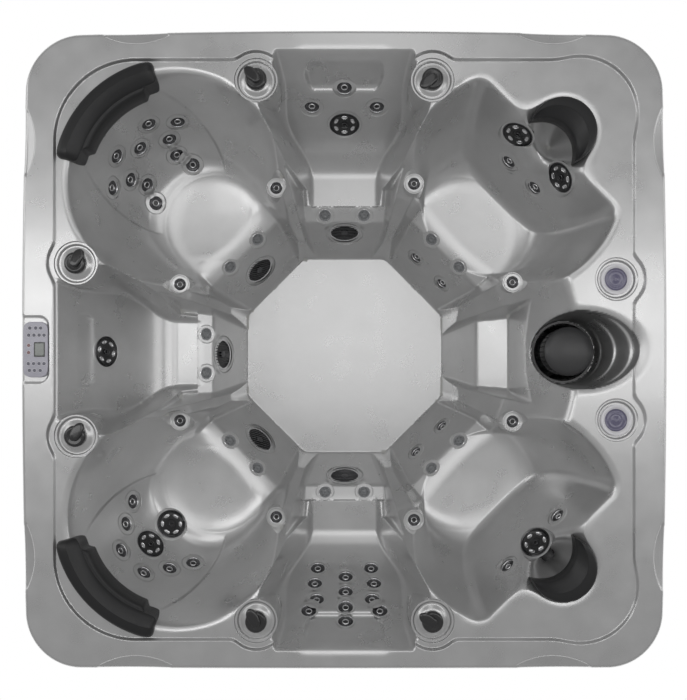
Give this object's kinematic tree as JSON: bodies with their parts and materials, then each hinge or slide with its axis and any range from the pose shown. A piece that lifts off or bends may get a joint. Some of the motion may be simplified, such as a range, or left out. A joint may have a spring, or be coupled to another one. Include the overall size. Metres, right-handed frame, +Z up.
{
  "type": "acrylic hot tub",
  "caption": "Square acrylic hot tub with moulded seats round an octagonal footwell, hydro-massage jets, head pillows, diverter knobs, key panel and a lift-out filter in a panelled cabinet.",
  "frame": {"origin": "middle of the rest face under the base tray", "axes": "+X to the filter side, +Y to the side opposite the south seat (up in the picture), +Z up"},
  "size_m": [2.3, 2.274, 0.952],
  "materials": {
    "acrylic": "pearl gloss",
    "jet": "polished",
    "clear": "clear and frosted",
    "grey": "gloss",
    "black": "satin",
    "key": "matt",
    "panel": "fine speckle",
    "pillow": "moulded foam skin",
    "cartridge": "pleated",
    "cabinet": "satin board",
    "steel": "zinc grey"
  },
  "bodies": {
    "tub": {"acrylic_shell": "acrylic", "northwest_jet_plumbing": "jet", "southwest_jet_plumbing": "jet", "northeast_jet_plumbing": "jet", "southeast_jet_plumbing": "jet", "north_jet_plumbing": "jet", "south_jet_plumbing": "jet", "west_jet_plumbing": "jet", "ledge_jet_line": "jet", "injector_air_line": "clear", "suction_line": "grey", "light_cups": "clear", "control_panel": "panel", "pillow_northwest": "pillow", "pillow_southwest": "pillow", "pillow_northeast": "pillow", "pillow_southeast": "pillow", "filter_canister": "black", "base_tray": "black", "cabinet_panel_right": "cabinet", "cabinet_panel_back": "cabinet", "cabinet_panel_left": "cabinet", "cabinet_panel_front": "cabinet", "support_frame": "steel", "jet_pump_1": "black", "jet_pump_2": "black", "air_blower": "black", "heater_pack": "steel"},
    "key_01": {"key_01": "key"},
    "key_02": {"key_02": "key"},
    "key_03": {"key_03": "key"},
    "key_04": {"key_04": "key"},
    "key_05": {"key_05": "key"},
    "key_06": {"key_06": "key"},
    "key_07": {"key_07": "key"},
    "key_08": {"key_08": "key"},
    "key_09": {"key_09": "key"},
    "key_10": {"key_10": "key"},
    "key_11": {"key_11": "key"},
    "key_12": {"key_12": "key"},
    "key_13": {"key_13": "key"},
    "key_14": {"key_14": "key"},
    "key_15": {"key_15": "key"},
    "key_16": {"key_16": "key"},
    "valve_knob_top_left": {"valve_knob_top_left": "black"},
    "valve_knob_left_lower": {"valve_knob_left_lower": "black"},
    "valve_knob_bottom_right": {"valve_knob_bottom_right": "black"},
    "valve_knob_top_right": {"valve_knob_top_right": "black"},
    "valve_knob_bottom_left": {"valve_knob_bottom_left": "black"},
    "valve_knob_left_upper": {"valve_knob_left_upper": "black"},
    "southwest_rotor_1": {"southwest_rotor_1": "black"},
    "southwest_rotor_2": {"southwest_rotor_2": "black"},
    "northeast_rotor_1": {"northeast_rotor_1": "black"},
    "northeast_rotor_2": {"northeast_rotor_2": "black"},
    "southeast_rotor_1": {"southeast_rotor_1": "black"},
    "north_rotor_1": {"north_rotor_1": "black"},
    "west_rotor_1": {"west_rotor_1": "black"},
    "filter_element": {"filter_cartridge": "cartridge", "filter_lid": "grey"}
  },
  "joints": [
    {"name": "key_01_press", "type": "slide", "parent": "tub", "child": "key_01", "axis": [0, 0, -1], "range_m": [0, 0.0008], "stiffness_N_per_m": 400},
    {"name": "key_02_press", "type": "slide", "parent": "tub", "child": "key_02", "axis": [0, 0, -1], "range_m": [0, 0.0008], "stiffness_N_per_m": 400},
    {"name": "key_03_press", "type": "slide", "parent": "tub", "child": "key_03", "axis": [0, 0, -1], "range_m": [0, 0.0008], "stiffness_N_per_m": 400},
    {"name": "key_04_press", "type": "slide", "parent": "tub", "child": "key_04", "axis": [0, 0, -1], "range_m": [0, 0.0008], "stiffness_N_per_m": 400},
    {"name": "key_05_press", "type": "slide", "parent": "tub", "child": "key_05", "axis": [0, 0, -1], "range_m": [0, 0.0008], "stiffness_N_per_m": 400},
    {"name": "key_06_press", "type": "slide", "parent": "tub", "child": "key_06", "axis": [0, 0, -1], "range_m": [0, 0.0008], "stiffness_N_per_m": 400},
    {"name": "key_07_press", "type": "slide", "parent": "tub", "child": "key_07", "axis": [0, 0, -1], "range_m": [0, 0.0008], "stiffness_N_per_m": 400},
    {"name": "key_08_press", "type": "slide", "parent": "tub", "child": "key_08", "axis": [0, 0, -1], "range_m": [0, 0.0008], "stiffness_N_per_m": 400},
    {"name": "key_09_press", "type": "slide", "parent": "tub", "child": "key_09", "axis": [0, 0, -1], "range_m": [0, 0.0008], "stiffness_N_per_m": 400},
    {"name": "key_10_press", "type": "slide", "parent": "tub", "child": "key_10", "axis": [0, 0, -1], "range_m": [0, 0.0008], "stiffness_N_per_m": 400},
    {"name": "key_11_press", "type": "slide", "parent": "tub", "child": "key_11", "axis": [0, 0, -1], "range_m": [0, 0.0008], "stiffness_N_per_m": 400},
    {"name": "key_12_press", "type": "slide", "parent": "tub", "child": "key_12", "axis": [0, 0, -1], "range_m": [0, 0.0008], "stiffness_N_per_m": 400},
    {"name": "key_13_press", "type": "slide", "parent": "tub", "child": "key_13", "axis": [0, 0, -1], "range_m": [0, 0.0008], "stiffness_N_per_m": 400},
    {"name": "key_14_press", "type": "slide", "parent": "tub", "child": "key_14", "axis": [0, 0, -1], "range_m": [0, 0.0008], "stiffness_N_per_m": 400},
    {"name": "key_15_press", "type": "slide", "parent": "tub", "child": "key_15", "axis": [0, 0, -1], "range_m": [0, 0.0008], "stiffness_N_per_m": 400},
    {"name": "key_16_press", "type": "slide", "parent": "tub", "child": "key_16", "axis": [0, 0, -1], "range_m": [0, 0.0008], "stiffness_N_per_m": 400},
    {"name": "valve_knob_top_left_turn", "type": "hinge", "parent": "tub", "child": "valve_knob_top_left", "pos_m": [-0.314, 0.962, 0.9107], "axis": [0, 0, 1], "range_deg": [-90, 90]},
    {"name": "valve_knob_left_lower_turn", "type": "hinge", "parent": "tub", "child": "valve_knob_left_lower", "pos_m": [-0.957, -0.308, 0.9107], "axis": [0, 0, 1], "range_deg": [-90, 90]},
    {"name": "valve_knob_bottom_right_turn", "type": "hinge", "parent": "tub", "child": "valve_knob_bottom_right", "pos_m": [0.314, -0.968, 0.9107], "axis": [0, 0, 1], "range_deg": [-90, 90]},
    {"name": "valve_knob_top_right_turn", "type": "hinge", "parent": "tub", "child": "valve_knob_top_right", "pos_m": [0.314, 0.962, 0.9107], "axis": [0, 0, 1], "range_deg": [-90, 90]},
    {"name": "valve_knob_bottom_left_turn", "type": "hinge", "parent": "tub", "child": "valve_knob_bottom_left", "pos_m": [-0.314, -0.968, 0.9107], "axis": [0, 0, 1], "range_deg": [-90, 90]},
    {"name": "valve_knob_left_upper_turn", "type": "hinge", "parent": "tub", "child": "valve_knob_left_upper", "pos_m": [-0.957, 0.308, 0.9107], "axis": [0, 0, 1], "range_deg": [-90, 90]},
    {"name": "southwest_rotor_1_spin", "type": "hinge", "parent": "tub", "child": "southwest_rotor_1", "pos_m": [-0.70423, -0.69343, 0.46735], "axis": [0.4146, 0.3886, 0.8229], "continuous": true},
    {"name": "southwest_rotor_2_spin", "type": "hinge", "parent": "tub", "child": "southwest_rotor_2", "pos_m": [-0.76796, -0.7571, 0.56116], "axis": [0.6115, 0.579, 0.5393], "continuous": true},
    {"name": "northeast_rotor_1_spin", "type": "hinge", "parent": "tub", "child": "northeast_rotor_1", "pos_m": [0.64022, 0.79815, 0.80179], "axis": [-0.4336, -0.8102, 0.3943], "continuous": true},
    {"name": "northeast_rotor_2_spin", "type": "hinge", "parent": "tub", "child": "northeast_rotor_2", "pos_m": [0.79815, 0.64022, 0.80179], "axis": [-0.8102, -0.4336, 0.3943], "continuous": true},
    {"name": "southeast_rotor_1_spin", "type": "hinge", "parent": "tub", "child": "southeast_rotor_1", "pos_m": [0.72125, -0.72125, 0.72855], "axis": [-0.5475, 0.5475, 0.6329], "continuous": true},
    {"name": "north_rotor_1_spin", "type": "hinge", "parent": "tub", "child": "north_rotor_1", "pos_m": [0, 0.88918, 0.61106], "axis": [0, -0.8569, 0.5155], "continuous": true},
    {"name": "west_rotor_1_spin", "type": "hinge", "parent": "tub", "child": "west_rotor_1", "pos_m": [-0.90507, 0, 0.70428], "axis": [0.8665, 0, 0.4993], "continuous": true},
    {"name": "filter_lift", "type": "slide", "parent": "tub", "child": "filter_element", "axis": [0, 0, 1], "range_m": [0, 0.5]}
  ]
}
